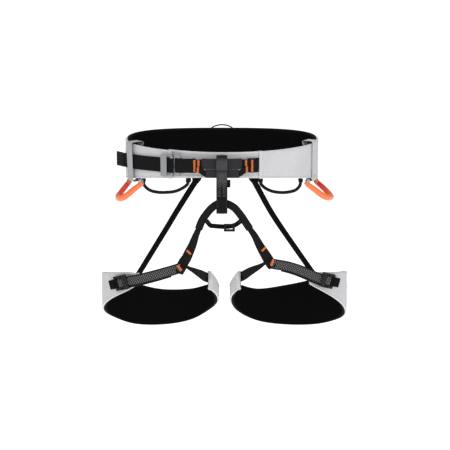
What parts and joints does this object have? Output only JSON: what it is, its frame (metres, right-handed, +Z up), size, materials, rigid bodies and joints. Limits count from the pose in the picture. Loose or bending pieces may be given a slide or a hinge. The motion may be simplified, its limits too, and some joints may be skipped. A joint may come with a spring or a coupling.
{
  "type": "climbing harness",
  "caption": "Padded sit harness with a waist belt, a belay loop, a yoke, two leg loops on buckled straps, elastic risers, gear loops and a haul loop.",
  "frame": {"origin": "centre of the waist opening, half way up the belt at the hips", "axes": "+X to the wearer's left, +Y to the wearer's back, +Z up"},
  "size_m": [0.44, 0.2201, 0.3689],
  "materials": {
    "lining": "open black mesh",
    "foam": "closed-cell foam",
    "shell": "light grey ripstop face fabric",
    "binding": "light grey folded edge tape",
    "flap": "light grey face fabric, turned edge",
    "webbing": "black tubular webbing",
    "sleeve": "dark grey abrasion sleeve, coarse weave",
    "tack": "orange bar-tack thread",
    "strap": "black flat adjustment webbing",
    "leg_strap": "dark grey patterned webbing",
    "alloy": "satin grey anodised",
    "alloy_black": "satin black anodised",
    "elastic": "grey knitted elastic",
    "elastic_black": "black knitted elastic",
    "belay": "black load webbing, sewn rows",
    "cord": "black sheathed cord",
    "gear_loop": "orange moulded sleeve",
    "hook": "black moulded plastic"
  },
  "bodies": {
    "waist": {"waist_lining": "lining", "waist_foam": "foam", "waist_shell": "shell", "waist_binding_top": "binding", "waist_binding_bottom": "binding", "front_flap": "flap", "tie_in_webbing": "webbing", "tie_in_sleeve": "sleeve", "tie_in_lower_webbing": "webbing", "tie_in_lower_sleeve": "sleeve", "waist_bar_tacks": "tack", "waist_strap": "strap", "waist_buckle_frame": "alloy", "strap_keeper_left": "elastic", "strap_keeper_right": "elastic", "gear_loop_tabs": "elastic", "yoke_webbing": "webbing", "yoke_sleeve": "sleeve", "yoke_bar_tacks": "tack", "cross_strap": "elastic_black", "cross_strap_hook": "hook", "riser_tabs": "webbing", "riser_left": "elastic_black", "riser_right": "elastic_black"},
    "waist_latch": {"waist_buckle_latch": "alloy"},
    "belay_loop": {"belay_loop": "belay", "belay_loop_lap": "belay"},
    "front_gear_left": {"gear_loop_front_left": "gear_loop"},
    "front_gear_right": {"gear_loop_front_right": "gear_loop"},
    "rear_gear_left": {"gear_loop_rear_left": "cord"},
    "rear_gear_right": {"gear_loop_rear_right": "cord"},
    "haul": {"haul_loop": "webbing"},
    "leg_left": {"leg_lining_left": "lining", "leg_foam_left": "foam", "leg_shell_left": "shell", "leg_binding_left": "binding", "leg_junction_left": "webbing", "leg_strap_left": "leg_strap", "leg_inner_strap_left": "webbing", "leg_bar_tacks_left": "tack", "leg_buckle_anchor_left": "strap", "leg_buckle_frame_left": "alloy_black"},
    "leg_right": {"leg_lining_right": "lining", "leg_foam_right": "foam", "leg_shell_right": "shell", "leg_binding_right": "binding", "leg_junction_right": "webbing", "leg_strap_right": "leg_strap", "leg_inner_strap_right": "webbing", "leg_bar_tacks_right": "tack", "leg_buckle_anchor_right": "strap", "leg_buckle_frame_right": "alloy_black"},
    "leg_latch_left": {"leg_buckle_latch_left": "alloy_black"},
    "leg_latch_right": {"leg_buckle_latch_right": "alloy_black"}
  },
  "joints": [
    {"name": "waist_latch_lift", "type": "hinge", "parent": "waist", "child": "waist_latch", "pos_m": [-0.08687, -0.08989, 0.001], "axis": [0, 0, 1], "range_deg": [0, 30]},
    {"name": "belay_loop_swivel", "type": "hinge", "parent": "waist", "child": "belay_loop", "pos_m": [0, -0.104, -0.029], "axis": [0, 0, 1], "range_deg": [-8, 8]},
    {"name": "front_gear_left_swing", "type": "hinge", "parent": "waist", "child": "front_gear_left", "pos_m": [-0.1417, -0.054, -0.0375], "axis": [-0.3138, 0.9426, -0.1139], "range_deg": [-15, 35], "stiffness_Nm_per_rad": 0.15, "springref_deg": 1.15},
    {"name": "front_gear_right_swing", "type": "hinge", "parent": "waist", "child": "front_gear_right", "pos_m": [0.1495, -0.0495, -0.0385], "axis": [-0.2633, -0.9587, 0.108], "range_deg": [-15, 35], "stiffness_Nm_per_rad": 0.15, "springref_deg": 1.15},
    {"name": "rear_gear_left_swing", "type": "hinge", "parent": "waist", "child": "rear_gear_left", "pos_m": [-0.142, 0.055, -0.0515], "axis": [0.9063, 0.4166, -0.0709], "range_deg": [-10, 70]},
    {"name": "rear_gear_right_swing", "type": "hinge", "parent": "waist", "child": "rear_gear_right", "pos_m": [0.142, 0.055, -0.0515], "axis": [0.8892, -0.4508, 0.0778], "range_deg": [-10, 70]},
    {"name": "haul_loop_fold", "type": "hinge", "parent": "waist", "child": "haul", "pos_m": [0, 0.101, 0.03], "axis": [-1, 0, 0], "range_deg": [0, 80], "stiffness_Nm_per_rad": 0.01},
    {"name": "leg_left_swing", "type": "hinge", "parent": "waist", "child": "leg_left", "pos_m": [-0.0668, -0.0825, -0.172], "axis": [1, 0, 0], "range_deg": [-15, 25], "stiffness_Nm_per_rad": 1, "springref_deg": 6.88, "deforming": ["riser_left"]},
    {"name": "leg_right_swing", "type": "hinge", "parent": "waist", "child": "leg_right", "pos_m": [0.078, -0.084, -0.162], "axis": [1, 0, 0], "range_deg": [-15, 25], "stiffness_Nm_per_rad": 1, "springref_deg": 6.88, "deforming": ["riser_right"]},
    {"name": "leg_latch_left_lift", "type": "hinge", "parent": "leg_left", "child": "leg_latch_left", "pos_m": [-0.17908, -0.06585, -0.2122], "axis": [0.2537, -0.1453, -0.9563], "range_deg": [0, 30]},
    {"name": "leg_latch_right_lift", "type": "hinge", "parent": "leg_right", "child": "leg_latch_right", "pos_m": [0.18768, -0.06585, -0.2082], "axis": [0.2537, 0.1453, 0.9563], "range_deg": [0, 30]}
  ]
}
